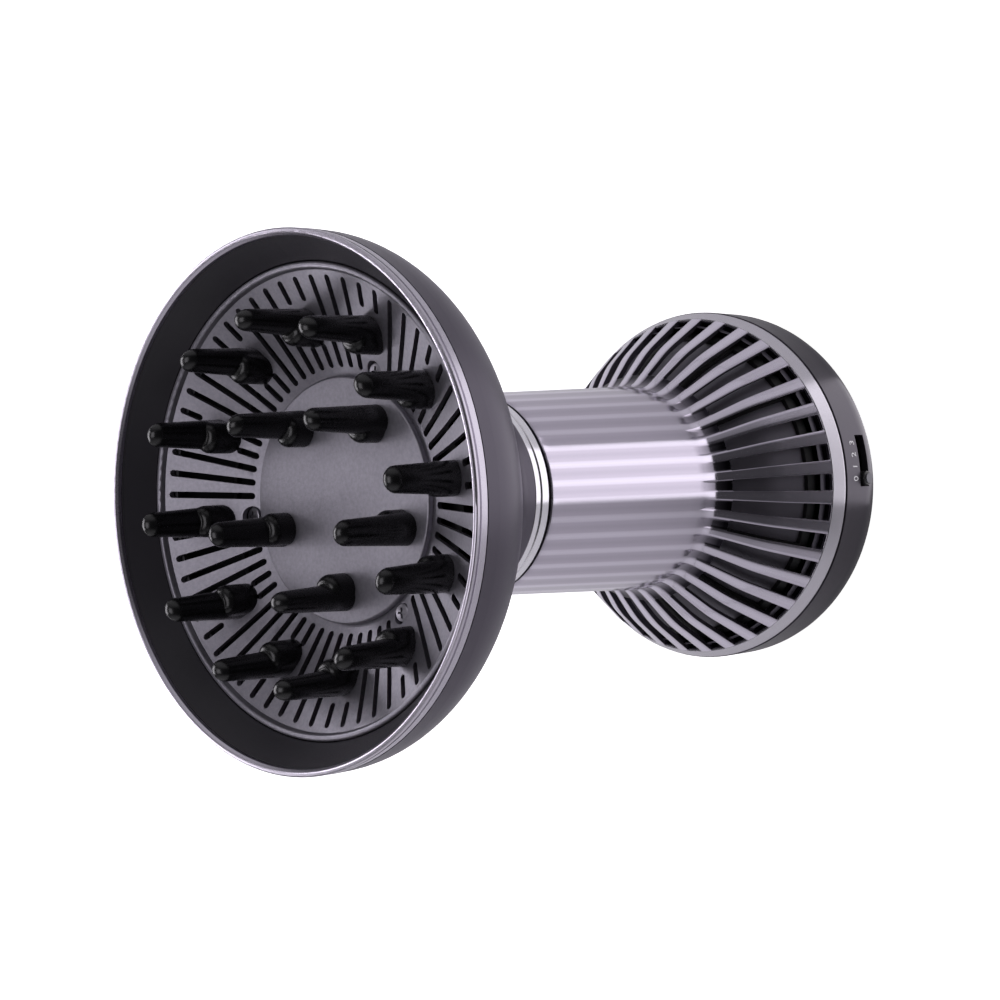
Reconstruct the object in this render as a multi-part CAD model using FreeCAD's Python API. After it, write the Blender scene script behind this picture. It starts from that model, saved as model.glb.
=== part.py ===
import FreeCAD, Part
import math
import os
from FreeCAD import Vector

# Hair dryer with a bowl-shaped diffuser head, all in millimetres.
# The dryer is turned about +Z. It stands on its flat rear face at z = 0 and the bowl opens upwards.
# Depths are measured down from the plane of the bowl's front rim.
# Angles are measured about +Z from +X, and the speed selector is on the -Y side.

# ---- driving dimensions ----
RIM_HEIGHT = 238.5          # rim plane above the rear face
RIM_R = 80.4                # outer radius of the bowl's rim
RIM_RING_DEPTH = 4.6        # height of the separate ring that forms the lip
BOWL_R = 80.5
BOWL_WALL = 2.2
BOWL_CORNER_R = 23.8        # rounding from the rim wall into the cone
COLLAR_R = 33.4             # bowl's neck collar
COLLAR_END = 77.4

PLATE_EDGE_R = 71.3         # outer radius of the grille plate's bead
PLATE_DISH_R = 69.6         # where the dished part starts
PLATE_EDGE_DEPTH = 12.2
PLATE_WALL = 1.8
DISC_R = 37.7               # raised centre disc
DISC_WALL = 1.8
PLATE_FLOOR_DEPTH = 27.4    # flat middle of the plate, under the disc
SLOT_COUNT = 60             # grille slots
SLOT_PITCH = 360.0 / SLOT_COUNT
SLOT_WIDTH = 2.1
SLOT_INNER_R = 40.4
SLOT_OUTER_R = 67.6
PRONG_ZONE = (47.8, 60.4)   # radii between which a slot stops at a prong's foot

OUTER_PRONGS = 12
OUTER_PRONG_R = 54.3
OUTER_PRONG_PHASE = 5.4
OUTER_TIP_AHEAD = 7.4       # tips stand ahead of the rim plane
INNER_PRONGS = 5
INNER_PRONG_R = 29.2
INNER_PRONG_PHASE = 35.6
INNER_TIP_AHEAD = 2.4
PRONG_FOOT_R = 4.8
PRONG_TIP_R = 3.5
LOBE_R = 4.9                # stepped lobe on the side towards the bowl's middle
LOBE_SHIFT = 2.2
LOBE_HEIGHT = 7.6
PEG_R = 1.8
PEG_CLEARANCE = 0.05

GRILLE_SCREWS = 3
GRILLE_SCREW_R = 41.6
GRILLE_SCREW_PHASE = 95.4

NECK_R = 33.0               # two polished beads between the bowl and the handle
NECK_BORE_R = 29.6
NECK_RING_FRONT = 77.6
NECK_RING_END = 84.8
TUBE_FRONT_DEPTH = 85.7
TUBE_FRONT_R = 33.2         # crest of the ribs at the front of the tube
TUBE_REAR_R = 36.6
FLARE_START = 167.5
FLARE_MIDDLE = (50.6, 184.0)
FLARE_END = (62.3, 203.5)
RIB_COUNT = 36
RIB_PHASE = 4.2
RIB_HEIGHT = 0.3
RIB_WIDTH = 4.4             # degrees; the flutes and intake slots fill the rest of the pitch
SHELL_WALL = 3.0            # crest of a rib to the inside face
INTAKE_SLOT_START = 173.0
INTAKE_SLOT_END = 203.0
FILTER_FRONT = 172.0        # filter cage behind the intake slots
FILTER_REAR = 201.0
FILTER_BAND = 2.5

CAP_R = 64.8
CAP_WALL = 2.4
CAP_CORNER_R = 17.0
CAP_FRONT_DEPTH = 208.9

SELECTOR_ANGLE = -90.0      # knob at position 0
SELECTOR_STEP = 3.8
SELECTOR_TRAVEL = 3 * SELECTOR_STEP
SELECTOR_Z = 18.0
KNOB_R = 2.6
KNOB_GAP = 0.3
CARRIER_R = (58.9, 60.7)

FAN_HOUSING_R = 31.5
FAN_WALL = 1.6
FAN_BOTTOM = 50.0
FAN_TOP = 86.0
IMPELLER_R = 29.3
IMPELLER_BLADES = 9
HUB_R = 14.6
STATOR_VANES = 8
MOTOR_R = 13.4
MOTOR_BOTTOM = 64.0
MOTOR_TOP = 90.0
SHAFT_R = 1.5
SHAFT_CLEARANCE = 0.05

LINER_TUBE_R = 28.7
HEATER_BOTTOM = 96.0
HEATER_TOP = 148.0
HEATER_R = 26.4
COIL_R = 20.5
COIL_WIRE_R = 1.1
COIL_TURNS = 8

BOARD_Z = 10.0
BOARD_WALL = 1.6
BOARD_R = (14.0, 44.0)
BOARD_SCREWS = 3
BOARD_SCREW_R = 40.0
BOARD_SCREW_PHASE = 30.0
PART_R = 30.0               # radius on which the board's components stand
SCREW_R = 1.5
SCREW_HOLE_R = 1.55
GLAND_ANGLE = 90.0
CORD_BORE_R = 3.8
GLAND_R = 7.0
GLAND_Z = 19.0

ORIGIN = Vector(0, 0, 0)
AXIS = Vector(0, 0, 1)
BIG = 300.0


# ---- helpers ----
def height(depth):
    """Z of a place that lies a given depth behind the rim plane."""
    return RIM_HEIGHT - depth


def down(points):
    """Corners given as (r, depth[, rounding]) turned into (r, z, rounding)."""
    return [(p[0], height(p[1]), p[2] if len(p) > 2 else 0.0) for p in points]


def straight(edges, start, end):
    if start.distanceToPoint(end) > 1e-6:
        edges.append(Part.LineSegment(start, end).toShape())


def round_corner(before, corner, after, radius):
    """End points and middle of the arc that rounds one corner."""
    back = (before - corner).normalize()
    ahead = (after - corner).normalize()
    half = back.getAngle(ahead) / 2
    trim = radius / math.tan(half)
    middle = corner + (back + ahead).normalize() * (radius / math.sin(half) - radius)
    return corner + back * trim, middle, corner + ahead * trim


def path_edges(corners):
    """Edges of an open path through corners (r, z, rounding) in the XZ half-plane."""
    points = [Vector(r, 0, z) for r, z, _ in corners]
    edges = []
    start = points[0]
    for i in range(1, len(points) - 1):
        if corners[i][2] > 0:
            first, middle, last = round_corner(points[i - 1], points[i], points[i + 1], corners[i][2])
            straight(edges, start, first)
            edges.append(Part.Arc(first, middle, last).toShape())
            start = last
        else:
            straight(edges, start, points[i])
            start = points[i]
    straight(edges, start, points[-1])
    return edges


def inset(corners, distance):
    """The same path moved towards the axis; it runs from the front to the rear."""
    directions = []
    for first, second in zip(corners, corners[1:]):
        length = math.hypot(second[0] - first[0], second[1] - first[1])
        directions.append(((second[0] - first[0]) / length, (second[1] - first[1]) / length))
    moved = []
    for i, (r, z, rounding) in enumerate(corners):
        before = directions[max(i - 1, 0)]
        after = directions[min(i, len(directions) - 1)]
        normal_r = before[1] + after[1]
        normal_z = -before[0] - after[0]
        scale = distance / (1 + before[0] * after[0] + before[1] * after[1])
        turn = before[0] * after[1] - before[1] * after[0]
        if rounding > 0:
            rounding = rounding - distance if turn < 0 else rounding + distance
        moved.append((r + normal_r * scale, z + normal_z * scale, rounding))
    return moved


def wall_face(corners, outer, inner):
    """Face between two insets of one path."""
    outside = inset(corners, outer)
    inside = inset(corners, inner)
    edges = path_edges(outside) + path_edges(inside)
    for end in (0, -1):
        straight(edges, Vector(outside[end][0], 0, outside[end][1]), Vector(inside[end][0], 0, inside[end][1]))
    return Part.Face(Part.Wire(Part.__sortEdges__(edges)))


def loop_face(corners):
    """Face of a closed outline through corners (r, z, rounding)."""
    middle = ((corners[0][0] + corners[-1][0]) / 2, (corners[0][1] + corners[-1][1]) / 2, 0.0)
    closed = [middle] + [c if len(c) > 2 else (c[0], c[1], 0.0) for c in corners] + [middle]
    return Part.Face(Part.Wire(Part.__sortEdges__(path_edges(closed))))


def turned(corners):
    """Solid of revolution from a closed outline (r, z[, rounding])."""
    return loop_face(corners).revolve(ORIGIN, AXIS, 360)


def sector(face, centre, width):
    """Part of a revolution, centred on an angle."""
    solid = face.revolve(ORIGIN, AXIS, width)
    solid.rotate(ORIGIN, AXIS, centre - width / 2)
    return solid


def ring(inner, outer, bottom, top):
    body = Part.makeCylinder(outer, top - bottom, Vector(0, 0, bottom))
    if inner <= 0:
        return body
    return body.cut(Part.makeCylinder(inner, top - bottom + 2, Vector(0, 0, bottom - 1)))


def at(radius, angle, z):
    turn = math.radians(angle)
    return Vector(radius * math.cos(turn), radius * math.sin(turn), z)


def radial_cylinder(r, inner, outer, angle, z):
    turn = math.radians(angle)
    return Part.makeCylinder(r, outer - inner, at(inner, angle, z), Vector(math.cos(turn), math.sin(turn), 0))


def block(length, width, tall, centre, angle=0.0):
    """Box centred on a point, its length along the radius at an angle."""
    solid = Part.makeBox(length, width, tall, Vector(-length / 2, -width / 2, -tall / 2))
    solid.rotate(ORIGIN, AXIS, angle)
    solid.translate(centre)
    return solid


def around(count, phase, make):
    """Shapes made at equal angles."""
    return [make(phase + 360.0 / count * i) for i in range(count)]


def fused(shapes):
    if len(shapes) == 1:
        return shapes[0]
    return shapes[0].multiFuse(shapes[1:]).removeSplitter()


def write(name, shape):
    if not shape.isValid():
        print("not valid:", name)
    shape.exportStep("parts/" + name + ".step")
    print("%-22s %2d solids %9.1f mm3" % (name, len(shape.Solids), shape.Volume))


# ---- outlines shared by several pieces ----
BOWL_PATH = down([
    (BOWL_R, RIM_RING_DEPTH),
    (BOWL_R, 18.24, BOWL_CORNER_R),
    (COLLAR_R, 71.3, 7.0),
    (COLLAR_R, COLLAR_END),
])
HANDLE_PATH = down([
    (TUBE_FRONT_R, TUBE_FRONT_DEPTH),
    (TUBE_REAR_R, FLARE_START, 10.0),
    (FLARE_MIDDLE[0], FLARE_MIDDLE[1], 45.0),
    FLARE_END,
])
CAP_PATH = [
    (CAP_R, height(CAP_FRONT_DEPTH), 0.0),
    (CAP_R, 0.0, CAP_CORNER_R),
    (0.0, 0.0, 0.0),
]


def plate_front_edges():
    """Front surface of the grille plate from the bead to the axis."""
    edge = Vector(PLATE_DISH_R, 0, height(PLATE_EDGE_DEPTH))
    middle = Vector(55.0, 0, height(19.6))
    floor = Vector(DISC_R, 0, height(PLATE_FLOOR_DEPTH))
    centre = Vector(0, 0, height(PLATE_FLOOR_DEPTH))
    return [Part.Arc(edge, middle, floor).toShape(), Part.LineSegment(floor, centre).toShape()]


def below_plate(drop):
    """Everything below the plate's front surface moved down by a drop."""
    edges = [e.copy() for e in plate_front_edges()]
    for edge in edges:
        edge.translate(Vector(0, 0, -drop))
    rim = Vector(PLATE_DISH_R, 0, height(PLATE_EDGE_DEPTH) - drop)
    base = height(60.0)
    centre = Vector(0, 0, height(PLATE_FLOOR_DEPTH) - drop)
    corners = [rim, Vector(PLATE_DISH_R, 0, base), Vector(0, 0, base), centre]
    for first, second in zip(corners, corners[1:]):
        edges.append(Part.LineSegment(first, second).toShape())
    return Part.Face(Part.Wire(Part.__sortEdges__(edges))).revolve(ORIGIN, AXIS, 360)


def plate_depth(r):
    """Depth of the plate's front surface at a radius, as a straight cone between its ends."""
    if r <= DISC_R:
        return PLATE_FLOOR_DEPTH
    share = (PLATE_DISH_R - r) / (PLATE_DISH_R - DISC_R)
    return PLATE_EDGE_DEPTH + share * (PLATE_FLOOR_DEPTH - PLATE_EDGE_DEPTH)


# ---- bowl ----
def rim_ring():
    return turned(down([
        (78.2, 1.0, 0.4), (79.1, 0.0, 0.7), (RIM_R, 0.1, 0.5), (RIM_R, 1.3), (79.9, 1.5), (79.9, 1.9),
        (RIM_R, 2.1), (RIM_R, RIM_RING_DEPTH - 0.3), (78.5, RIM_RING_DEPTH - 0.3), (78.5, 2.2), (78.2, 2.2),
    ]))


def bowl_shell():
    return wall_face(BOWL_PATH, 0.0, BOWL_WALL).revolve(ORIGIN, AXIS, 360)


def bowl_liner():
    return turned(down([
        (78.2, 2.3), (71.7, 11.0), (71.7, 14.6), (66.6, 15.9), (66.6, 17.4), (73.4, 17.4), (73.4, 12.0),
        (78.2, 5.2),
    ]))


def grille_plate():
    body = below_plate(0.0).cut(below_plate(PLATE_WALL))
    body = body.cut(ring(0, BIG, height(70.0), height(PLATE_FLOOR_DEPTH + PLATE_WALL)))
    bead = turned(down([
        (PLATE_EDGE_R, PLATE_EDGE_DEPTH + PLATE_WALL), (PLATE_EDGE_R, 10.6, 0.8), (69.5, 10.6, 0.8),
        (68.9, 12.4), (69.4, PLATE_EDGE_DEPTH + PLATE_WALL),
    ]))
    body = fused([body, bead])
    cutters = []
    for angle in [OUTER_PRONG_PHASE - SLOT_PITCH / 2 + SLOT_PITCH * i for i in range(SLOT_COUNT)]:
        cutters += slot_cutters(angle)
    body = body.cut(Part.makeCompound(cutters))
    body = body.cut(Part.makeCompound(prong_holes() + grille_screw_holes()))
    return body


def angle_gap(first, second):
    return abs((first - second + 180.0) % 360.0 - 180.0)


def long_slot(angle, inner, outer):
    """Cutter for one round-ended radial slot."""
    half = SLOT_WIDTH / 2
    bottom = height(40.0)
    tall = height(0.0) - bottom
    middle = at((outer + inner) / 2, angle, bottom + tall / 2)
    bar = block(outer - inner - 2 * half, SLOT_WIDTH, tall, middle, angle)
    ends = [Part.makeCylinder(half, tall, at(r, angle, bottom)) for r in (inner + half, outer - half)]
    return fused([bar] + ends)


def slot_cutters(angle):
    """Cutters at one slot position: whole, or split by a prong's foot or a screw boss."""
    near_prong = min(angle_gap(angle, OUTER_PRONG_PHASE + 30.0 * i) for i in range(OUTER_PRONGS))
    near_screw = min(angle_gap(angle, GRILLE_SCREW_PHASE + 120.0 * i) for i in range(GRILLE_SCREWS))
    if near_screw < SLOT_PITCH * 0.75:
        return [long_slot(angle, PRONG_ZONE[1], SLOT_OUTER_R)]
    if near_prong < SLOT_PITCH * 0.75:
        return [long_slot(angle, SLOT_INNER_R, PRONG_ZONE[0]), long_slot(angle, PRONG_ZONE[1], SLOT_OUTER_R)]
    return [long_slot(angle, SLOT_INNER_R, SLOT_OUTER_R)]


def prong_places():
    """Name, radius, angle and tip depth of every prong."""
    places = []
    for i in range(OUTER_PRONGS):
        angle = OUTER_PRONG_PHASE + 360.0 / OUTER_PRONGS * i
        places.append(("outer_prong_%02d" % (i + 1), OUTER_PRONG_R, angle, -OUTER_TIP_AHEAD))
    for i in range(INNER_PRONGS):
        angle = INNER_PRONG_PHASE + 360.0 / INNER_PRONGS * i
        places.append(("inner_prong_%d" % (i + 1), INNER_PRONG_R, angle, -INNER_TIP_AHEAD))
    return places


def prong_holes():
    holes = []
    for _, radius, angle, _ in prong_places():
        holes.append(Part.makeCylinder(PEG_R + PEG_CLEARANCE, 30, at(radius, angle, height(45.0))))
    return holes


def grille_screw_holes():
    """Stepped clearance holes under the screws' heads."""
    holes = []
    for angle in [GRILLE_SCREW_PHASE + 120.0 * i for i in range(GRILLE_SCREWS)]:
        bottom = height(45.0)
        step = height(27.0)
        top = step + 10.0
        hole = turned([(0.0, bottom), (1.75, bottom), (1.75, step), (3.3, step), (3.3, top), (0.0, top)])
        hole.translate(at(GRILLE_SCREW_R, angle, 0))
        holes.append(hole)
    return holes


def centre_disc():
    top = height(PLATE_FLOOR_DEPTH - DISC_WALL)
    body = turned([
        (0.0, height(PLATE_FLOOR_DEPTH)), (DISC_R, height(PLATE_FLOOR_DEPTH)), (DISC_R, top, 0.7), (0.0, top),
    ])
    return body.cut(Part.makeCompound(prong_holes()))


def prong(radius, angle, tip_depth):
    """One finger with its stepped lobe, cut to sit on the plate or the disc, and its peg."""
    inner = radius < DISC_R
    seat = height(PLATE_FLOOR_DEPTH - DISC_WALL) if inner else height(plate_depth(radius))
    tip = height(tip_depth)
    foot = seat - 6.0
    finger = turned([
        (0.0, foot), (PRONG_FOOT_R, foot), (PRONG_TIP_R, tip, PRONG_TIP_R * 0.96), (0.0, tip),
    ])
    lobe = turned([
        (0.0, foot), (LOBE_R, foot), (LOBE_R - 0.3, seat + LOBE_HEIGHT, 2.4), (0.0, seat + LOBE_HEIGHT),
    ])
    finger.translate(Vector(radius, 0, 0))
    lobe.translate(Vector(radius - LOBE_SHIFT, 0, 0))
    body = finger.fuse(lobe).removeSplitter()
    if inner:
        body = body.cut(ring(0, BIG, seat - 20, seat))
    else:
        body = body.cut(below_plate(0.0))
    peg_bottom = height(PLATE_FLOOR_DEPTH + PLATE_WALL + 1.2) if inner else seat - 4.6
    peg = Part.makeCylinder(PEG_R, seat + 2.0 - peg_bottom, Vector(radius, 0, peg_bottom))
    body = fused([body, peg])
    body.rotate(ORIGIN, AXIS, angle)
    return body


def grille_screws():
    def screw(angle):
        top = height(26.0)
        head = turned([(0.0, top - 1.0), (2.9, top - 1.0), (2.9, top, 0.6), (0.0, top + 0.25)])
        shank = Part.makeCylinder(SCREW_R, 9.0, Vector(0, 0, top - 10.0))
        body = head.fuse(shank).removeSplitter()
        for turn in (0, 90):
            body = body.cut(block(3.2, 0.7, 1.2, Vector(0, 0, top), turn))
        body.translate(at(GRILLE_SCREW_R, angle, 0))
        return body
    return Part.makeCompound(around(GRILLE_SCREWS, GRILLE_SCREW_PHASE, screw))


# ---- air path inside the bowl ----
FUNNEL_GAP = 5.0
FUNNEL_WALL = 1.2
FUNNEL_FRONT = 17.5
FUNNEL_END = 84.4


def funnel_path():
    """The bowl's outline, carried on to the front of the heater barrel."""
    return BOWL_PATH[:-1] + [(COLLAR_R, height(FUNNEL_END), 0.0)]


def air_funnel():
    """Hot-air cone, a few millimetres inside the bowl's shell."""
    cone = wall_face(funnel_path(), FUNNEL_GAP, FUNNEL_GAP + FUNNEL_WALL).revolve(ORIGIN, AXIS, 360)
    return cone.common(ring(0, BIG, height(FUNNEL_END), height(FUNNEL_FRONT)))


def funnel_inside():
    """Space inside the hot-air cone."""
    inner = inset(funnel_path(), FUNNEL_GAP + FUNNEL_WALL)
    return turned([(0.0, inner[0][1], 0.0)] + inner + [(0.0, inner[-1][1], 0.0)])


def grille_spider():
    """Ring of screw posts under the plate, held by six arms against the hot-air cone."""
    hub = ring(36.5, 44.5, height(35.5), height(33.0))
    arms = around(6, GRILLE_SCREW_PHASE, lambda a: block(30.0, 2.2, 2.5, at(56.0, a, height(34.25)), a))
    rim = ring(57.5, 75.0, height(35.5), height(33.0))
    flat = fused([hub, rim] + arms).common(funnel_inside())
    posts = around(GRILLE_SCREWS, GRILLE_SCREW_PHASE,
                   lambda a: Part.makeCylinder(3.4, 8.0, at(GRILLE_SCREW_R, a, height(36.0))))
    body = fused([flat] + [p.cut(above_plate_back()) for p in posts])
    holes = around(GRILLE_SCREWS, GRILLE_SCREW_PHASE,
                   lambda a: Part.makeCylinder(SCREW_HOLE_R, 40.0, at(GRILLE_SCREW_R, a, height(50.0))))
    return body.cut(Part.makeCompound(holes))


def above_plate_back():
    """Everything above the back surface of the grille plate."""
    block_all = ring(0, PLATE_DISH_R, height(59.0), height(-5.0))
    back = below_plate(PLATE_WALL).cut(ring(0, BIG, height(70.0), height(58.0)))
    floor = ring(0, PLATE_DISH_R, height(59.0), height(PLATE_FLOOR_DEPTH + PLATE_WALL))
    return block_all.cut(back).cut(floor)


def air_deflector():
    """Shallow cone that turns the hot air outwards to the grille slots."""
    return turned(down([
        (0.0, 52.0), (4.0, 51.0), (38.0, 37.0, 0.6), (38.0, 35.6), (36.6, 35.6), (4.0, 49.4), (0.0, 50.2),
    ]))


# ---- neck ----
def neck_ring():
    return turned(down([
        (NECK_BORE_R, NECK_RING_FRONT), (32.2, NECK_RING_FRONT), (NECK_R, 78.2, 0.4), (NECK_R, 80.4, 0.4),
        (32.5, 80.8), (NECK_R, 81.2, 0.4), (NECK_R, 84.3, 0.4), (32.3, NECK_RING_END),
        (NECK_BORE_R, NECK_RING_END),
    ]))


def neck_seal():
    front = NECK_RING_END + 0.05
    rear = TUBE_FRONT_DEPTH - 0.05
    return turned(down([(NECK_BORE_R, front), (31.9, front), (31.9, rear), (NECK_BORE_R, rear)]))


# ---- handle ----
def handle_shell():
    wall = wall_face(HANDLE_PATH, RIB_HEIGHT, SHELL_WALL).revolve(ORIGIN, AXIS, 360)
    flange = ring(56.9, 59.5, height(208.5), height(198.0)).common(handle_inside(RIB_HEIGHT + 0.2))
    rib_face = wall_face(HANDLE_PATH, 0.0, RIB_HEIGHT + 0.2)
    pitch = 360.0 / RIB_COUNT
    ribs = around(RIB_COUNT, RIB_PHASE, lambda a: sector(rib_face, a, RIB_WIDTH))
    body = fused([wall, flange] + ribs)
    slot_face = intake_slot_face()
    slots = around(RIB_COUNT, RIB_PHASE + pitch / 2, lambda a: sector(slot_face, a, pitch - RIB_WIDTH))
    trim_seat = ring(59.5, BIG, height(215.0), height(203.3))
    return body.cut(Part.makeCompound(slots + [trim_seat]))


def handle_inside(distance):
    """Space inside the handle's outline moved inwards."""
    inner = inset(HANDLE_PATH, distance)
    bottom = (inner[-1][0], height(210.0), 0.0)
    return turned([(0.0, inner[0][1], 0.0)] + inner + [bottom, (0.0, bottom[1], 0.0)])


def intake_slot_face():
    top = height(INTAKE_SLOT_START)
    bottom = height(INTAKE_SLOT_END)
    return loop_face([(37.0, top), (72.0, top), (72.0, bottom), (37.0, bottom)])


def filter_frame():
    """Cage behind the intake slots: two end rings and twelve bars."""
    band = wall_face(HANDLE_PATH, SHELL_WALL + 0.6, SHELL_WALL + 1.8)
    cage = []
    for top, bottom in ((FILTER_FRONT, FILTER_FRONT + FILTER_BAND), (FILTER_REAR - FILTER_BAND, FILTER_REAR)):
        keep = ring(0, BIG, height(bottom), height(top))
        cage.append(band.revolve(ORIGIN, AXIS, 360).common(keep))
    span = ring(0, BIG, height(FILTER_REAR), height(FILTER_FRONT))
    cage += around(12, RIB_PHASE, lambda a: sector(band, a, 4.0).common(span))
    return fused(cage)


def filter_mesh():
    band = wall_face(HANDLE_PATH, SHELL_WALL + 1.9, SHELL_WALL + 2.4).revolve(ORIGIN, AXIS, 360)
    return band.common(ring(0, BIG, height(FILTER_REAR - 0.5), height(FILTER_FRONT + 0.5)))


# ---- rear end ----
def rear_trim_ring():
    return turned(down([
        (59.6, 203.4), (62.2, 203.4, 0.5), (64.55, 208.0, 0.6), (64.3, 208.5), (59.6, 208.5),
    ]))


def rear_cap():
    cup = cap_cup(0.0).cut(cap_cup(CAP_WALL))
    spigot = ring(59.7, CAP_R - CAP_WALL + 0.2, height(212.5), height(CAP_FRONT_DEPTH + 0.4))
    posts = board_posts(4.0, 1.0, BOARD_Z)
    body = fused([cup, spigot] + posts)
    cutters = [
        sector(selector_slot_face(), SELECTOR_ANGLE + SELECTOR_TRAVEL / 2, SELECTOR_TRAVEL + slot_ends()),
        radial_cylinder(GLAND_R - 1.4, 50.0, 70.0, GLAND_ANGLE, GLAND_Z),
        ring(25.0, 26.0, -1.0, 0.5),
    ]
    cutters += board_posts(3.2, -1.0, 2.0)
    cutters += board_posts(SCREW_HOLE_R, 1.5, 21.5)
    for cutter in cutters:
        body = body.cut(cutter)
    return body


def board_posts(r, bottom, top):
    """Cylinders on the board's screw circle."""
    return around(BOARD_SCREWS, BOARD_SCREW_PHASE,
                  lambda a: Part.makeCylinder(r, top - bottom, at(BOARD_SCREW_R, a, bottom)))


def cap_cup(distance):
    """Solid inside the cap's outline moved inwards."""
    corners = inset(CAP_PATH, distance)
    top = height(CAP_FRONT_DEPTH) + (1.0 if distance > 0 else 0.0)
    outline = [(0.0, top, 0.0), (corners[0][0], top, 0.0), corners[1], (0.0, corners[1][1], 0.0)]
    return turned(outline)


def slot_ends():
    """Angle that the knob and its clearance take up beyond the knob's travel."""
    return math.degrees(2 * (KNOB_R + KNOB_GAP) / CAP_R)


def selector_slot_face():
    half = KNOB_R + KNOB_GAP
    low = SELECTOR_Z - half
    high = SELECTOR_Z + half
    return loop_face([(57.0, high), (70.0, high), (70.0, low), (57.0, low)])


def selector_knob():
    """Round knob that stands out of the slot."""
    stem = radial_cylinder(KNOB_R, CARRIER_R[1], 66.2, SELECTOR_ANGLE, SELECTOR_Z)
    return stem.makeFillet(0.5, [stem.Edges[i] for i in outer_circle(stem, 66.2)])


def outer_circle(shape, radius):
    """Edges of a radial cylinder that lie at its outer end."""
    found = []
    for i, edge in enumerate(shape.Edges):
        centre = edge.CenterOfMass
        if edge.Closed and math.hypot(centre.x, centre.y) > radius - 0.1:
            found.append(i)
    return found


def knob_cap():
    """Pale insert on the knob's end."""
    return radial_cylinder(KNOB_R - 0.8, 66.2, 66.7, SELECTOR_ANGLE, SELECTOR_Z)


def selector_carrier():
    """Curved slide behind the cap's wall, with the pin that works the switch."""
    half = 3.6
    face = loop_face([
        (CARRIER_R[0], SELECTOR_Z + half), (CARRIER_R[1], SELECTOR_Z + half - 0.4),
        (CARRIER_R[1], SELECTOR_Z - half + 0.9), (CARRIER_R[0], SELECTOR_Z - half + 0.9),
    ])
    plate = sector(face, SELECTOR_ANGLE, 9.0)
    pin = radial_cylinder(1.2, 55.0, CARRIER_R[0] + 0.5, SELECTOR_ANGLE, SELECTOR_Z)
    return fused([plate, pin])


def selector_switch():
    """Sliding switch that the carrier's pin works."""
    middle = SELECTOR_ANGLE + SELECTOR_TRAVEL / 2
    half = 1.6
    body = block(9.0, 22.0, 10.0, at(52.8, middle, SELECTOR_Z + 1.0), middle)
    groove_face = loop_face([
        (54.0, SELECTOR_Z + half), (62.0, SELECTOR_Z + half), (62.0, SELECTOR_Z - half),
        (54.0, SELECTOR_Z - half),
    ])
    return body.cut(sector(groove_face, middle, SELECTOR_TRAVEL + 4.0))


def circuit_board():
    body = ring(BOARD_R[0], BOARD_R[1], BOARD_Z, BOARD_Z + BOARD_WALL)
    return body.cut(Part.makeCompound(board_posts(SCREW_HOLE_R, BOARD_Z - 2.0, BOARD_Z + 8.0)))


def board_screws():
    def screw(angle):
        shank = Part.makeCylinder(SCREW_R, 9.0, at(BOARD_SCREW_R, angle, 1.2))
        base = at(BOARD_SCREW_R, angle, 0.4)
        head = Part.makeCylinder(2.8, 1.2, base)
        recess = block(3.4, 0.7, 0.8, base, angle)
        cross = block(3.4, 0.7, 0.8, base, angle + 90.0)
        return head.fuse(shank).removeSplitter().cut(recess).cut(cross)
    return Part.makeCompound(around(BOARD_SCREWS, BOARD_SCREW_PHASE, screw))


def on_board(tall):
    """Middle height of a component of a given height that stands on the board."""
    return BOARD_Z + BOARD_WALL + tall / 2


def mains_capacitor():
    return block(10.0, 20.0, 12.0, at(PART_R, 0.0, on_board(12.0)), 0.0)


def filter_choke():
    base = BOARD_Z + BOARD_WALL
    return ring(3.0, 7.5, base, base + 8.0).translated(at(PART_R, 40.0, 0))


def speed_triacs():
    blocks = [block(4.5, 10.0, 14.0, at(PART_R, a, on_board(14.0)), a) for a in (120.0, 150.0)]
    return Part.makeCompound(blocks)


def motor_rectifier():
    return block(9.0, 15.0, 6.0, at(PART_R, 190.0, on_board(6.0)), 190.0)


def terminal_block():
    middle = on_board(10.0)
    body = block(10.0, 24.0, 10.0, at(36.0, GLAND_ANGLE, middle), GLAND_ANGLE)
    hole = radial_cylinder(1.3, 38.0, 48.0, GLAND_ANGLE, middle)
    holes = [hole.translated(Vector(x, 0, 0)) for x in (-6, 6)]
    return body.cut(Part.makeCompound(holes))


def cord_gland():
    """Strain-relief bush in the cap's side for a mains lead."""
    collar = radial_cylinder(GLAND_R, 64.9, 68.5, GLAND_ANGLE, GLAND_Z)
    sleeve = radial_cylinder(GLAND_R - 1.5, 56.0, 65.0, GLAND_ANGLE, GLAND_Z)
    body = fused([collar, sleeve])
    return body.cut(radial_cylinder(CORD_BORE_R, 50.0, 80.0, GLAND_ANGLE, GLAND_Z))


# ---- fan and motor ----
def fan_housing():
    """Duct around the fan, with guide vanes that carry the motor's cup."""
    duct = ring(FAN_HOUSING_R - FAN_WALL, FAN_HOUSING_R, FAN_BOTTOM, FAN_TOP)
    mouth = turned([
        (FAN_HOUSING_R - FAN_WALL, FAN_BOTTOM), (FAN_HOUSING_R + 4.0, FAN_BOTTOM - 4.0, 1.5),
        (FAN_HOUSING_R + 4.0, FAN_BOTTOM - 2.4), (FAN_HOUSING_R, FAN_BOTTOM + 1.6),
    ])
    cup = ring(MOTOR_R + 0.1, HUB_R, MOTOR_BOTTOM, FAN_TOP - 2.0)
    vanes = around(STATOR_VANES, 10.0, guide_vane)
    return fused([duct, mouth, cup] + vanes)


def guide_vane(angle):
    vane = block(20.0, 1.2, 17.0, ORIGIN)
    vane.rotate(ORIGIN, Vector(1, 0, 0), 14.0)
    vane.translate(Vector(22.0, 0, 75.0))
    vane = vane.common(ring(HUB_R - 0.4, FAN_HOUSING_R - FAN_WALL + 0.4, 60.0, 90.0))
    vane.rotate(ORIGIN, AXIS, angle)
    return vane


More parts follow.
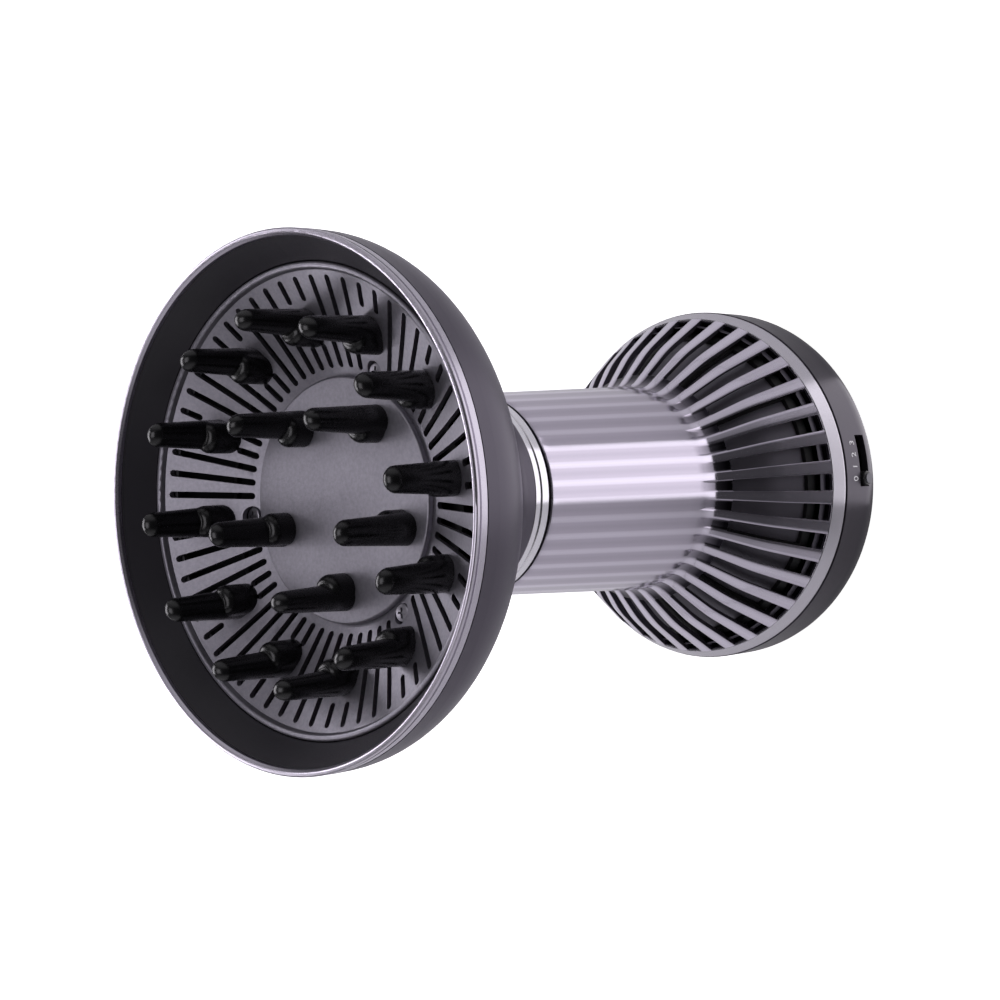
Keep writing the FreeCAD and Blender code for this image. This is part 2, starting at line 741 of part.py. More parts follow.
def chassis_ring():
    """Ring that holds the fan duct in the tube."""
    body = ring(FAN_HOUSING_R + 0.02, 45.0, 74.0, 80.0).common(handle_inside(SHELL_WALL + 0.02))
    relief = around(6, 0.0, lambda a: block(30.0, 6.0, 8.0, at(48.6, a, 77.0), a))
    return body.cut(Part.makeCompound(relief))


def fan_impeller():
    hub = turned([
        (SHAFT_R, 51.0), (5.0, 51.0, 1.5), (HUB_R - 1.0, 56.0, 4.0), (HUB_R - 1.0, 62.0), (HUB_R - 2.2, 62.0),
        (HUB_R - 2.2, 57.5), (4.0, 54.5), (4.0, 61.0), (SHAFT_R, 61.0),
    ])
    blades = around(IMPELLER_BLADES, 0.0, impeller_blade)
    return fused([hub] + blades)


def impeller_blade(angle):
    blade = block(20.0, 1.2, 13.0, ORIGIN)
    blade.rotate(ORIGIN, Vector(1, 0, 0), -38.0)
    blade.translate(Vector(21.5, 0, 58.0))
    blade = blade.common(ring(HUB_R - 1.8, IMPELLER_R, 53.4, 62.0))
    blade.rotate(ORIGIN, AXIS, angle)
    return blade


def motor_shaft():
    return Part.makeCylinder(SHAFT_R, 43.0, Vector(0, 0, 50.4))


def motor_can():
    outer = ring(0, MOTOR_R, MOTOR_BOTTOM, MOTOR_TOP)
    inner = ring(0, MOTOR_R - 1.0, MOTOR_BOTTOM + 1.0, MOTOR_TOP - 1.0)
    bores = ring(0, 4.0, MOTOR_BOTTOM - 1, MOTOR_TOP + 1)
    vents = around(4, 45.0, lambda a: Part.makeCylinder(1.6, 5.0, at(8.5, a, MOTOR_TOP - 3)))
    return outer.cut(inner).cut(bores).cut(Part.makeCompound(vents))


def motor_magnets():
    face = loop_face([(10.6, 68.0), (MOTOR_R - 1.1, 68.0), (MOTOR_R - 1.1, 85.0), (10.6, 85.0)])
    return Part.makeCompound([sector(face, a, 140.0) for a in (90.0, 270.0)])


def motor_armature():
    core = ring(SHAFT_R, 10.2, 69.0, 84.0)
    slots = around(5, 0.0, lambda a: block(6.0, 1.6, 20.0, at(8.6, a, 76.5), a))
    return core.cut(Part.makeCompound(slots))


def motor_bearings():
    bore = SHAFT_R + SHAFT_CLEARANCE
    return Part.makeCompound([ring(bore, 4.0, low, low + 3.0) for low in (MOTOR_BOTTOM, MOTOR_TOP - 3.0)])


# ---- heater ----
def barrel_liner():
    return ring(LINER_TUBE_R - 0.8, LINER_TUBE_R, 88.0, height(84.6))


def heater_cards():
    middle = Vector(0, 0, (HEATER_TOP + HEATER_BOTTOM) / 2)
    cards = [block(2 * HEATER_R, 0.9, HEATER_TOP - HEATER_BOTTOM, middle, a) for a in (0.0, 90.0)]
    return fused(cards).cut(Part.makeCompound(coil_turns(COIL_WIRE_R + 0.05)))


def coil_turns(wire_r):
    margin = 5.0
    pitch = (HEATER_TOP - HEATER_BOTTOM - 2 * margin) / (COIL_TURNS - 1)
    heights = [HEATER_BOTTOM + margin + pitch * i for i in range(COIL_TURNS)]
    return [Part.makeTorus(COIL_R, wire_r, Vector(0, 0, z)) for z in heights]


def heater_sleeve():
    return ring(HEATER_R + 0.1, HEATER_R + 0.7, HEATER_BOTTOM - 2.0, HEATER_TOP + 2.0)


def thermostat():
    return block(3.4, 7.0, 12.0, Vector(8.0, 4.1, 118.0))


def thermal_fuse():
    return Part.makeCylinder(1.6, 11.0, Vector(-8.0, -2.2, 112.0))


def power_leads():
    """Three insulated leads from the board, past the fan duct, towards the heater."""
    leads = []
    for angle in (200.0, 212.0, 224.0):
        leads.append(Part.makeCylinder(1.1, 36.0, at(39.5, angle, BOARD_Z + BOARD_WALL)))
    return Part.makeCompound(leads)


def main():
    os.makedirs("parts", exist_ok=True)
    pieces = [
        rim_ring, bowl_shell, bowl_liner, grille_plate, centre_disc, grille_screws, air_funnel, grille_spider,
        air_deflector, neck_ring, neck_seal, handle_shell, filter_frame, filter_mesh, rear_trim_ring, rear_cap,
        selector_knob, knob_cap, selector_carrier, selector_switch, circuit_board, board_screws, mains_capacitor,
        filter_choke, speed_triacs, motor_rectifier, terminal_block, cord_gland, fan_housing, chassis_ring,
        fan_impeller, motor_shaft, motor_can, motor_magnets, motor_armature, barrel_liner, heater_cards,
        heater_sleeve, thermostat, thermal_fuse, power_leads, motor_bearings,
    ]
    for make in pieces:
        write(make.__name__, make())
    write("heater_coils", Part.makeCompound(coil_turns(COIL_WIRE_R)))
    for name, radius, angle, tip_depth in prong_places():
        write(name, prong(radius, angle, tip_depth))


main()
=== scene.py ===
import math
import bpy
import bmesh
from mathutils import Matrix, Vector
from mathutils.bvhtree import BVHTree


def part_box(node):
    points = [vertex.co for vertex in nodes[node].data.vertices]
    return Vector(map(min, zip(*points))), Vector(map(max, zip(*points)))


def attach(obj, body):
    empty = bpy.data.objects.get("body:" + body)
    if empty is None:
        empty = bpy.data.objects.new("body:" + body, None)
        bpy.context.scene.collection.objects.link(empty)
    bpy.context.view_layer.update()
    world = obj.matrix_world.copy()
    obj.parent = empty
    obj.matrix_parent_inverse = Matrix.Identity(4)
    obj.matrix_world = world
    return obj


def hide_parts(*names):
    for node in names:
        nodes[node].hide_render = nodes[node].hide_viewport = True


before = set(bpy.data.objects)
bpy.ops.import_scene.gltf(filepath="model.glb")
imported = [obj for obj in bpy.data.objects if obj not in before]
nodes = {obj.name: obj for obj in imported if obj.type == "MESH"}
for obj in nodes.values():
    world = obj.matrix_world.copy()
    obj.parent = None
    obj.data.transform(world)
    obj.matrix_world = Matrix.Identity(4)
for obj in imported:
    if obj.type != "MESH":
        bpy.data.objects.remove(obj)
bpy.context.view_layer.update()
scene = bpy.context.scene

# Hair dryer with a bowl-shaped diffuser head, standing on its rear face. Metres, same frame as the CAD.
RIB_COUNT = 36
RIB_PITCH = math.radians(360 / RIB_COUNT)
RIB_PHASE = math.radians(4.2)
SLOT_HALF = math.radians(2.8)       # half the width of an intake slot
FLUTE_DEPTH = 0.00007               # flutes of the tube, measured from the ribs' crests
GROOVE_DEPTH = 0.0005               # flutes of the flare, where they open into the intake slots
SHELL_WALL = 0.0026
FINGER_FOOT = (0.0044, 0.0050)      # half widths of a prong along the bowl's radius and across it
FINGER_TIP = (0.0031, 0.0037)
LOBE_HALF = (0.0046, 0.0051)
LOBE_SHIFT = 0.0026                 # towards the bowl's middle
LOBE_HEIGHT = 0.0082
DIAL_PHASE = math.radians(-90.0)    # selector at position 0
DIAL_STEP = math.radians(3.8)
DIGIT_Z = 0.0237
DIGIT_TALL = 0.0029
DIGIT_SHARE = 0.72                  # height of a digit in its font's size
OUTER_PRONG_R = 0.0543
BETWEEN_PRONGS = math.radians(17.4) # an angle at which the plate is clear of the prongs
TUBE_END_EASE = 0.0008              # length over which the tube's front edge is eased
FLARE_TOP, SLOT_TOP, SLOT_BOTTOM = 0.082, 0.0655, 0.0355


# ---- materials ----
class Shader:
    """Node tree of one material, with short calls for the nodes that the finishes share."""

    def __init__(self, name, colour, metallic, roughness):
        self.material = bpy.data.materials.new(name)
        self.material.use_nodes = True
        self.tree = self.material.node_tree
        self.bsdf = self.tree.nodes["Principled BSDF"]
        self.bsdf.inputs["Metallic"].default_value = metallic
        self.bsdf.inputs["Roughness"].default_value = roughness
        self.bsdf.inputs["Base Color"].default_value = (*colour, 1)
        self.place = self.tree.nodes.new("ShaderNodeTexCoord").outputs["Object"]

    def add(self, kind, **inputs):
        node = self.tree.nodes.new(kind)
        for key, value in inputs.items():
            socket = node.inputs[key.replace("_", " ")]
            if isinstance(value, bpy.types.NodeSocket):
                self.tree.links.new(value, socket)
            else:
                socket.default_value = value
        return node

    def noise(self, scale, detail=3.0, stretch=(1, 1, 1)):
        mapping = self.add("ShaderNodeMapping", Vector=self.place, Scale=stretch)
        return self.add("ShaderNodeTexNoise", Vector=mapping.outputs[0], Scale=scale, Detail=detail).outputs[0]

    def remap(self, value, low, high, start=0.3, end=0.7):
        node = self.add("ShaderNodeMapRange", Value=value)
        node.inputs["From Min"].default_value = start
        node.inputs["From Max"].default_value = end
        node.inputs["To Min"].default_value = low
        node.inputs["To Max"].default_value = high
        return node.outputs[0]

    def colour(self, factor, low, high):
        mix = self.tree.nodes.new("ShaderNodeMix")
        mix.data_type = "RGBA"
        mix.inputs["A"].default_value = (*low, 1)
        mix.inputs["B"].default_value = (*high, 1)
        self.tree.links.new(factor, mix.inputs["Factor"])
        self.tree.links.new(mix.outputs["Result"], self.bsdf.inputs["Base Color"])

    def roughness(self, value):
        self.tree.links.new(value, self.bsdf.inputs["Roughness"])

    def bump(self, value, strength, distance):
        node = self.add("ShaderNodeBump", Height=value, Strength=strength, Distance=distance)
        self.tree.links.new(node.outputs[0], self.bsdf.inputs["Normal"])

    def math(self, operation, first, second=0.0):
        node = self.tree.nodes.new("ShaderNodeMath")
        node.operation = operation
        for socket, value in zip(node.inputs, (first, second)):
            if isinstance(value, bpy.types.NodeSocket):
                self.tree.links.new(value, socket)
            else:
                socket.default_value = value
        return node.outputs[0]

    def from_rib(self):
        """0 on a rib's middle, 0.5 on a flute's middle, all round the handle."""
        parts = self.add("ShaderNodeSeparateXYZ", Vector=self.place).outputs
        angle = self.math("ARCTAN2", parts[1], parts[0])
        turns = self.math("DIVIDE", self.math("SUBTRACT", angle, RIB_PHASE), RIB_PITCH)
        return self.math("PINGPONG", self.math("ADD", turns, RIB_COUNT), 0.5), parts[2]


def shade(colour, amount):
    return tuple(min(1.0, c * amount) for c in colour)


def finish(name, colour, metallic, roughness, vary=0.1, mottle=40.0, grain=2200.0, bump=0.15,
           depth=0.00008, coat=0.0, stretch=(1, 1, 1), detail=3.0):
    """A moulded, cast, drawn or painted finish: broad colour variation, fine grain in gloss and relief."""
    s = Shader(name, colour, metallic, roughness)
    broad = s.noise(mottle, 2.0)
    fine = s.noise(grain, detail, stretch)
    s.colour(broad, shade(colour, 1 - vary), shade(colour, 1 + vary))
    s.roughness(s.remap(fine, roughness * 0.85, min(1.0, roughness * 1.15)))
    s.bump(fine, bump, depth)
    s.bsdf.inputs["Coat Weight"].default_value = coat
    s.bsdf.inputs["Coat Roughness"].default_value = 0.08
    return s


def striped_metal():
    """Silver plating with a painted highlight on the crests and painted shade in the flutes, which darkens to
    near black where they turn into the flare's grooves.
    """
    s = Shader("handle_metal", (0.5, 0.48, 0.52), 1.0, 0.17)
    away, z = s.from_rib()
    fine = s.noise(3600, 3.0)
    # Crests painted lighter and flutes darker: painted highlight on the crests, painted shade in the flutes.
    painted_rib_shading = s.add("ShaderNodeValToRGB", Fac=away)
    ramp = painted_rib_shading.color_ramp
    ramp.interpolation = "EASE"
    stops = [(0.0, (0.74, 0.70, 0.80)), (0.11, (0.70, 0.66, 0.76)),
             (0.24, (0.55, 0.51, 0.60)), (0.5, (0.50, 0.465, 0.55))]
    ramp.elements[0].position, ramp.elements[0].color = stops[0][0], (*stops[0][1], 1)
    ramp.elements[1].position, ramp.elements[1].color = stops[3][0], (*stops[3][1], 1)
    for position, colour in stops[1:3]:
        ramp.elements.new(position).color = (*colour, 1)
    # Painted shade: the flutes fade to near black towards the flare, where the grooves deepen into the intake
    # slots.
    groove = s.remap(away, 0.0, 1.0, 0.20, 0.28)
    rear = s.remap(z, 1.0, 0.0, 0.0665, 0.0785)
    mix = s.tree.nodes.new("ShaderNodeMix")
    mix.data_type = "RGBA"
    s.tree.links.new(s.math("MULTIPLY", groove, rear), mix.inputs["Factor"])
    s.tree.links.new(painted_rib_shading.outputs[0], mix.inputs["A"])
    mix.inputs["B"].default_value = (0.02, 0.018, 0.024, 1)
    s.tree.links.new(mix.outputs["Result"], s.bsdf.inputs["Base Color"])
    s.roughness(s.remap(fine, 0.14, 0.20))
    s.bump(fine, 0.05, 0.00003)
    return s


def finish_all():
    """One material for each slot name of the record."""
    made = {
        "bowl_metal": finish("bowl_metal", (0.118, 0.106, 0.136), 0.5, 0.38, 0.06, 30, 5200, 0.25, 0.00004),
        "rim_metal": finish("rim_metal", (0.57, 0.54, 0.61), 1.0, 0.30, 0.06, 30, 5200, 0.2, 0.00004),
        "liner_black": finish("liner_black", (0.020, 0.018, 0.024), 0.0, 0.5, 0.15, 60, 3000, 0.3, 0.00008),
        "grille_metal": finish("grille_metal", (0.27, 0.26, 0.295), 0.8, 0.44, 0.22, 900, 2600, 0.5, 0.0001),
        "prong_black": finish("prong_black", (0.0035, 0.0035, 0.004), 0.0, 0.27, 0.2, 60, 2600, 0.06, 0.00004),
        "chrome_trim": finish("chrome_trim", (0.86, 0.84, 0.89), 1.0, 0.15, 0.03, 30, 3000, 0.03, 0.00002),
        "polished_trim": finish("polished_trim", (0.60, 0.58, 0.63), 1.0, 0.2, 0.03, 30, 3000, 0.05, 0.00002),
        "seal_rubber": finish("seal_rubber", (0.10, 0.096, 0.108), 0.0, 0.6, 0.15, 90, 1800, 0.35, 0.0001),
        "handle_metal": striped_metal(),
        # Dark colour of the handle skin's inner face and slot walls: painted shade inside the intake slots.
        "slot_wall": finish("slot_wall", (0.11, 0.10, 0.125), 0.4, 0.5, 0.1, 60, 2400, 0.2, 0.00005),
        "cap_metal": finish("cap_metal", (0.092, 0.084, 0.101), 0.7, 0.34, 0.06, 30, 5200, 0.22, 0.00004),
        "screw_steel": finish("screw_steel", (0.27, 0.26, 0.29), 1.0, 0.32, 0.08, 300, 5200, 0.2, 0.00003),
        "duct_steel": finish("duct_steel", (0.05, 0.05, 0.052),
                             1.0, 0.5, 0.08, 60, 2600, 0.2, 0.00004, stretch=(1, 1, 12)),
        "duct_plastic": finish("duct_plastic", (0.009, 0.009, 0.010), 0.0, 0.55, 0.15, 60, 2400, 0.3, 0.00008),
        "filter_steel": finish("filter_steel", (0.17, 0.16, 0.19), 0.5, 0.45, 0.1, 60, 2600, 0.2, 0.00005),
        "knob_black": finish("knob_black", (0.010, 0.010, 0.011), 0.0, 0.34, 0.2, 90, 3600, 0.2, 0.00005),
        "knob_grey": finish("knob_grey", (0.16, 0.16, 0.18), 0.1, 0.4, 0.1, 200, 3600, 0.2, 0.00005),
        "switch_plastic": finish("switch_plastic", (0.02, 0.02, 0.022),
                                 0.0, 0.42, 0.15, 90, 3000, 0.25, 0.00006),
        "board_green": finish("board_green", (0.015, 0.11, 0.04),
                              0.0, 0.36, 0.35, 520, 3000, 0.15, 0.00004, coat=0.3),
        "capacitor_yellow": finish("capacitor_yellow", (0.66, 0.42, 0.04),
                                   0.0, 0.38, 0.08, 90, 2400, 0.12, 0.00005),
        "choke_copper": finish("choke_copper", (0.60, 0.24, 0.10),
                               1.0, 0.28, 0.14, 200, 2000, 0.2, 0.00005, stretch=(1, 1, 9)),
        "terminal_white": finish("terminal_white", (0.62, 0.61, 0.57), 0.0, 0.45, 0.06, 90, 2400, 0.2, 0.00005),
        "impeller_grey": finish("impeller_grey", (0.09, 0.095, 0.10), 0.0, 0.42, 0.12, 60, 2800, 0.2, 0.00005),
        "motor_steel": finish("motor_steel", (0.46, 0.46, 0.47),
                              1.0, 0.3, 0.08, 90, 3200, 0.15, 0.00003, stretch=(1, 1, 10)),
        "magnet_ferrite": finish("magnet_ferrite", (0.045, 0.042, 0.042),
                                 0.2, 0.7, 0.2, 300, 2600, 0.5, 0.00008),
        "armature_iron": finish("armature_iron", (0.30, 0.21, 0.16),
                                0.9, 0.42, 0.25, 500, 2600, 0.3, 0.00006, stretch=(1, 1, 14)),
        "bearing_bronze": finish("bearing_bronze", (0.45, 0.31, 0.14),
                                 1.0, 0.42, 0.12, 500, 3600, 0.3, 0.00004),
        "mica": finish("mica", (0.52, 0.42, 0.27), 0.1, 0.4, 0.25, 350, 2000, 0.3, 0.00005, coat=0.35),
        "heater_wire": finish("heater_wire", (0.33, 0.29, 0.27), 1.0, 0.45, 0.2, 300, 3200, 0.3, 0.00003),
        "lead_insulation": finish("lead_insulation", (0.50, 0.05, 0.035),
                                  0.0, 0.44, 0.08, 90, 2400, 0.12, 0.00004),
    }
    return {name: s.material for name, s in made.items()}


materials = finish_all()
for name, obj in nodes.items():
    for slot in obj.material_slots:
        key = slot.material.name.split(".")[0] if slot.material else ""
        if key in materials:
            slot.material = materials[key]
        else:
            print("NO MATERIAL", name, key)


# ---- handle skin ----
def outer_radius(tree, angle, z):
    """Radius at which a level ray towards the axis meets the CAD shell."""
    out = Vector((math.cos(angle), math.sin(angle), 0))
    hit = tree.ray_cast(out * 0.2 + Vector((0, 0, z)), -out)[0]
    return math.hypot(hit.x, hit.y) if hit else None


def smooth(x):
    x = max(0.0, min(1.0, x))
    return x * x * (3 - 2 * x)


def handle_skin():
    """The fluted tube and ribbed flare as one skin, with the intake slots cut through it."""
    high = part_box("handle_shell")[1]
    tree = BVHTree.FromObject(nodes["handle_shell"], bpy.context.evaluated_depsgraph_get())
    bottom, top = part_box("rear_trim_ring")[1].z, high.z
    eased = top - TUBE_END_EASE
    rows = [top, top - 0.0003, eased]
    rows += [eased - (eased - FLARE_TOP) * i / 30 for i in range(1, 31)]
    rows += [FLARE_TOP - (FLARE_TOP - SLOT_TOP) * i / 16 for i in range(1, 17)]
    rows += [SLOT_TOP - (SLOT_TOP - SLOT_BOTTOM) * i / 44 for i in range(1, 45)]
    rows += [SLOT_BOTTOM - (SLOT_BOTTOM - bottom) * i / 2 for i in range(1, 3)]
    half = SLOT_HALF
    rib_half = RIB_PITCH / 2 - half
    stations = [("slot", half * share) for share in (-1, -0.8, -0.45, 0.0, 0.45, 0.8, 1)]
    stations += [("rib", rib_half * share) for share in (-0.8, -0.45, 0.0, 0.45, 0.8)]
    mesh = bmesh.new()
    grid = []
    for z in rows:
        crest = outer_radius(tree, RIB_PHASE, z) or outer_radius(tree, RIB_PHASE + RIB_PITCH, z)
        flare = smooth((FLARE_TOP - z) / (FLARE_TOP - SLOT_TOP))
        end = min(1.0, (top - z) / TUBE_END_EASE)
        line = []
        for k in range(RIB_COUNT):
            for kind, offset in stations:
                centre = RIB_PHASE + RIB_PITCH * k + (RIB_PITCH / 2 if kind == "slot" else RIB_PITCH)
                angle = centre + offset
                away = offset / (RIB_PITCH / 2) if kind == "slot" else 1 - abs(offset) / (RIB_PITCH / 2)
                soft = 0.5 + 0.5 * math.cos(math.pi * min(1.0, abs(away) / 0.75))
                groove = smooth((0.60 - abs(away)) / 0.10)
                drop = (1 - flare) * FLUTE_DEPTH * soft + flare * GROOVE_DEPTH * groove
                r = crest - drop - 0.0003 * (1 - end)
                line.append(mesh.verts.new((r * math.cos(angle), r * math.sin(angle), z)))
        grid.append(line)
    count = len(stations)
    for i in range(len(rows) - 1):
        middle = (rows[i] + rows[i + 1]) / 2
        for j in range(count * RIB_COUNT):
            open_here = SLOT_BOTTOM < middle < SLOT_TOP and j % count < 6
            if not open_here:
                k = (j + 1) % (count * RIB_COUNT)
                mesh.faces.new((grid[i][j], grid[i + 1][j], grid[i + 1][k], grid[i][k]))
    bmesh.ops.recalc_face_normals(mesh, faces=mesh.faces)
    data = bpy.data.meshes.new("handle_skin")
    mesh.to_mesh(data)
    mesh.free()
    data.polygons.foreach_set("use_smooth", [True] * len(data.polygons))
    skin = bpy.data.objects.new("handle_skin", data)
    scene.collection.objects.link(skin)
    wall = skin.modifiers.new("wall", "SOLIDIFY")
    wall.thickness = SHELL_WALL
    wall.offset = -1
    # The inner face and the cut edges take the dark slot_wall colour, painted shade in the slots.
    wall.material_offset = 1
    wall.material_offset_rim = 1
    edge = skin.modifiers.new("edge", "BEVEL")
    edge.width = 0.00022
    edge.segments = 2
    edge.angle_limit = math.radians(50)
    edge.harden_normals = True
    data.materials.append(materials["handle_metal"])
    data.materials.append(materials["slot_wall"])
    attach(skin, "housing")
    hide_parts("handle_shell")


handle_skin()


# ---- prongs ----
def ellipse_reach(angle, halves, shift):
    """Distance from the finger's axis to an ellipse moved towards the bowl's middle, or 0."""
    u, v = math.cos(angle), math.sin(angle)
    a = (u / halves[0]) ** 2 + (v / halves[1]) ** 2
    b = u * shift / halves[0] ** 2
    c = (shift / halves[0]) ** 2 - 1
    inside = b * b - a * c
    return max(0.0, (-b + math.sqrt(inside)) / a) if inside > 0 else 0.0


def prong(node):
    """A soft-tipped finger with its stepped lobe, drawn out of rings round the finger's axis."""
    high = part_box(node)[1]
    tips = [v.co for v in nodes[node].data.vertices if v.co.z > high.z - 0.0002]
    axis = sum(tips, Vector()) / len(tips)
    turn = math.atan2(axis.y, axis.x)
    inner = node.startswith("inner")
    seat = SEATS["inner"] if inner else SEATS["outer"]
    foot = seat - (0.0008 if inner else 0.0036)
    tall = high.z - seat
    dome, lobe_dome = 0.0036, 0.0027
    lobe_top = seat + LOBE_HEIGHT
    rows = [foot + (lobe_top - lobe_dome - foot) * i / 6 for i in range(6)]
    rows += [lobe_top - lobe_dome + lobe_dome * math.sin(math.pi / 2 * i / 14) for i in range(15)]
    rows += [lobe_top + 0.0006 + (high.z - dome - lobe_top - 0.0006) * i / 8 for i in range(8)]
    rows += [high.z - dome + dome * math.sin(math.pi / 2 * i / 12) for i in range(12)]
    sides = 56
    mesh = bmesh.new()
    rings = []
    for z in rows:
        share = (z - seat) / tall
        cap = math.sqrt(max(0.0, 1 - max(0.0, (z - high.z + dome) / dome) ** 2))
        finger = [(FINGER_FOOT[i] + (FINGER_TIP[i] - FINGER_FOOT[i]) * share) * max(cap, 0.02) for i in (0, 1)]
        round_off = math.sqrt(max(0.0, 1 - max(0.0, (z - lobe_top + lobe_dome) / lobe_dome) ** 2))
        shrink = lobe_dome * (1 - round_off)
        lobe = [h - shrink - 0.0002 * share for h in LOBE_HALF] if z < lobe_top - 1e-6 else None
        ring = []
        for k in range(sides):
            angle = 2 * math.pi * k / sides
            first = ellipse_reach(angle, finger, 0.0)
            second = ellipse_reach(angle, lobe, LOBE_SHIFT) if lobe else 0.0
            reach = (first + second + math.sqrt((first - second) ** 2 + 0.00025 ** 2)) / 2 if lobe else first
            u, v = reach * math.cos(angle), reach * math.sin(angle)
            x = axis.x + u * math.cos(turn) - v * math.sin(turn)
            y = axis.y + u * math.sin(turn) + v * math.cos(turn)
            ring.append(mesh.verts.new((x, y, z)))
        rings.append(ring)
    for lower, upper in zip(rings, rings[1:]):
        for k in range(sides):
            n = (k + 1) % sides
            mesh.faces.new((lower[k], lower[n], upper[n], upper[k]))
    mesh.faces.new(rings[-1])
    mesh.faces.new(list(reversed(rings[0])))
    data = bpy.data.meshes.new(node + "_soft")
    mesh.to_mesh(data)
    mesh.free()
    data.polygons.foreach_set("use_smooth", [True] * len(data.polygons))
    data.materials.append(materials["prong_black"])
    obj = bpy.data.objects.new(node + "_soft", data)
    scene.collection.objects.link(obj)
    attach(obj, "housing")
    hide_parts(node)


def surface_height(node, x, y):
    """Height of a node's upper surface under a point of the bowl."""
    tree = BVHTree.FromObject(nodes[node], bpy.context.evaluated_depsgraph_get())
    return tree.ray_cast(Vector((x, y, 0.3)), Vector((0, 0, -1)))[0].z


# Seats: the disc's top, and the dished plate beside a prong's foot.
SEATS = {"inner": surface_height("centre_disc", 0.0, 0.0),
         "outer": surface_height("grille_plate", OUTER_PRONG_R * math.cos(BETWEEN_PRONGS),
                                 OUTER_PRONG_R * math.sin(BETWEEN_PRONGS))}
for name in sorted(nodes):
    if "prong" in name:
        prong(name)


# ---- dial digits ----
def dial_digits():
    """The digits 0 to 3 above the selector, as thin raised ink on the cap's side."""
    tree = BVHTree.FromObject(nodes["rear_cap"], bpy.context.evaluated_depsgraph_get())
    ink = finish("dial_ink", (0.93, 0.93, 0.95), 0.0, 0.5, 0.06, 900, 4000, 0.2, 0.00002).material
    joined = bmesh.new()
    for value in range(4):
        text = bpy.data.curves.new("digit", "FONT")
        text.body = str(value)
        text.size = DIGIT_TALL / DIGIT_SHARE
        text.align_x = "CENTER"
        text.align_y = "CENTER"
        text.extrude = 0.00003
        text.resolution_u = 6
        holder = bpy.data.objects.new("digit", text)
        scene.collection.objects.link(holder)
        flat = holder.to_mesh()
        piece = bmesh.new()
        piece.from_mesh(flat)
        holder.to_mesh_clear()
        middle = DIAL_PHASE + DIAL_STEP * value
        base = outer_radius(tree, middle, DIGIT_Z)
        for vert in piece.verts:
            angle = middle + vert.co.x / base
            z = DIGIT_Z + vert.co.y
            r = outer_radius(tree, angle, z) + 0.00002 + vert.co.z
            vert.co = Vector((r * math.cos(angle), r * math.sin(angle), z))
        whole = bpy.data.meshes.new("digit")
        piece.to_mesh(whole)
        piece.free()
        joined.from_mesh(whole)
        bpy.data.objects.remove(holder)
    data = bpy.data.meshes.new("dial_digits")
    joined.to_mesh(data)
    joined.free()
    data.materials.append(ink)
    digits = bpy.data.objects.new("dial_digits", data)
    scene.collection.objects.link(digits)
    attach(digits, "housing")


dial_digits()


# ---- floor, light and camera ----
def studio():
    """A lit white floor, and a world that is dark towards the camera and brighter at the sides."""
    near, far, wide = -0.75, 3.0, 2.5
    paper = bpy.data.meshes.new("floor")
    corners = [(-wide, near), (wide, near), (wide, far), (-wide, far)]
    paper.from_pydata([(x, y, -0.0003) for x, y in corners], [], [(0, 1, 2, 3)])
    look = finish("floor_paper", (0.86, 0.86, 0.87), 0.0, 0.8, 0.01, 3, 900, 0.02, 0.0001)
    look.bsdf.inputs["Emission Color"].default_value = (1.0, 1.0, 1.0, 1)
    glow = look.math("MULTIPLY_ADD", look.tree.nodes.new("ShaderNodeLightPath").outputs["Is Camera Ray"], 0.9)
    glow.node.inputs[2].default_value = 0.1
    look.tree.links.new(glow, look.bsdf.inputs["Emission Strength"])
    paper.materials.append(look.material)
    ground = bpy.data.objects.new("floor", paper)
    scene.collection.objects.link(ground)

    world = bpy.data.worlds.new("studio")
    scene.world = world
    world.use_nodes = True
    tree = world.node_tree
    back = tree.nodes["Background"]
    back.inputs["Color"].default_value = (0.96, 0.94, 1.0, 1)
    parts = tree.nodes.new("ShaderNodeSeparateXYZ")
    tree.links.new(tree.nodes.new("ShaderNodeTexCoord").outputs["Generated"], parts.inputs[0])
    aside = tree.nodes.new("ShaderNodeMath")
    aside.operation = "ABSOLUTE"
    tree.links.new(parts.outputs[0], aside.inputs[0])
    side = tree.nodes.new("ShaderNodeMapRange")
    side.interpolation_type = "SMOOTHSTEP"
    side.inputs["From Min"].default_value = 0.45
    side.inputs["From Max"].default_value = 0.9
    side.inputs["To Min"].default_value = 0.05
    side.inputs["To Max"].default_value = 0.55
    tree.links.new(aside.outputs[0], side.inputs["Value"])
    seen = tree.nodes.new("ShaderNodeMath")
    seen.operation = "MAXIMUM"
    tree.links.new(side.outputs[0], seen.inputs[0])
    tree.links.new(tree.nodes.new("ShaderNodeLightPath").outputs["Is Camera Ray"], seen.inputs[1])
    tree.links.new(seen.outputs[0], back.inputs["Strength"])


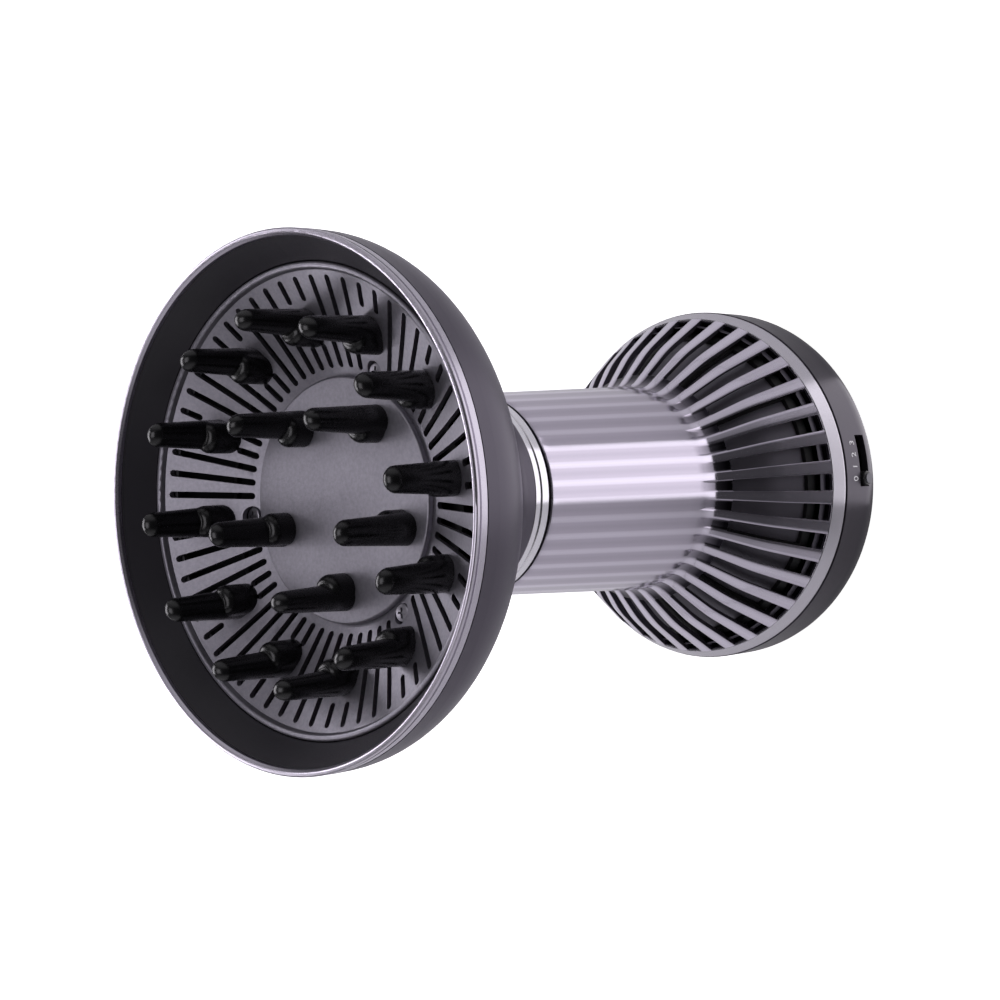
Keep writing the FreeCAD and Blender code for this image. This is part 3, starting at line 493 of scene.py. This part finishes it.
def softbox(name, place, aim, size, radiance, tint=(1, 1, 1)):
    light = bpy.data.lights.new(name, "AREA")
    light.shape = "RECTANGLE"
    light.size, light.size_y = size
    light.energy = radiance * math.pi * size[0] * size[1]
    light.color = tint
    obj = bpy.data.objects.new(name, light)
    obj.location = place
    obj.rotation_euler = (Vector(aim) - Vector(place)).to_track_quat("-Z", "Y").to_euler()
    scene.collection.objects.link(obj)
    obj.visible_camera = False
    return obj


def floor_glow():
    """A lit strip on the floor, hidden from the camera, that draws the broad highlight along the handle."""
    corners = [(-0.124, -0.600), (0.620, -0.510), (0.040, -0.052), (-0.0105, -0.0665)]
    strip = bpy.data.meshes.new("floor_glow")
    strip.from_pydata([(x, y, 0.004) for x, y in corners], [], [(0, 1, 2, 3)])
    look = Shader("floor_glow", (0, 0, 0), 0.0, 1.0)
    look.bsdf.inputs["Emission Color"].default_value = (0.98, 0.95, 1.0, 1)
    front = look.math("SUBTRACT", 1.0, look.tree.nodes.new("ShaderNodeNewGeometry").outputs["Backfacing"])
    look.tree.links.new(look.math("MULTIPLY", front, 1.32), look.bsdf.inputs["Emission Strength"])
    strip.materials.append(look.material)
    obj = bpy.data.objects.new("floor_glow", strip)
    scene.collection.objects.link(obj)
    obj.visible_camera = False
    obj.visible_shadow = False


def camera():
    forward = Vector((-0.0034, 0.6731, -0.7395)).normalized()
    right = Vector((-0.0426, -0.7390, -0.6724))
    right = (right - forward * right.dot(forward)).normalized()
    up = right.cross(forward)
    data = bpy.data.cameras.new("camera")
    data.sensor_width = 36
    data.lens = 66.6
    obj = bpy.data.objects.new("camera", data)
    turn = Matrix((right, up, -forward)).transposed().to_4x4()
    obj.matrix_world = Matrix.Translation((0, -0.4136, 0.5954)) @ turn
    scene.collection.objects.link(obj)
    scene.camera = obj


studio()
softbox("back_box", (0.0, 1.25, 0.72), (0, 0, 0.2), (1.2, 0.7), 4.0, (0.97, 0.94, 1.0))
softbox("top_box", (0.0, 0.1, 1.4), (0, 0, 0.2), (0.9, 0.8), 2.0, (0.97, 0.94, 1.0))
floor_glow()
camera()
scene.view_settings.view_transform = "Standard"
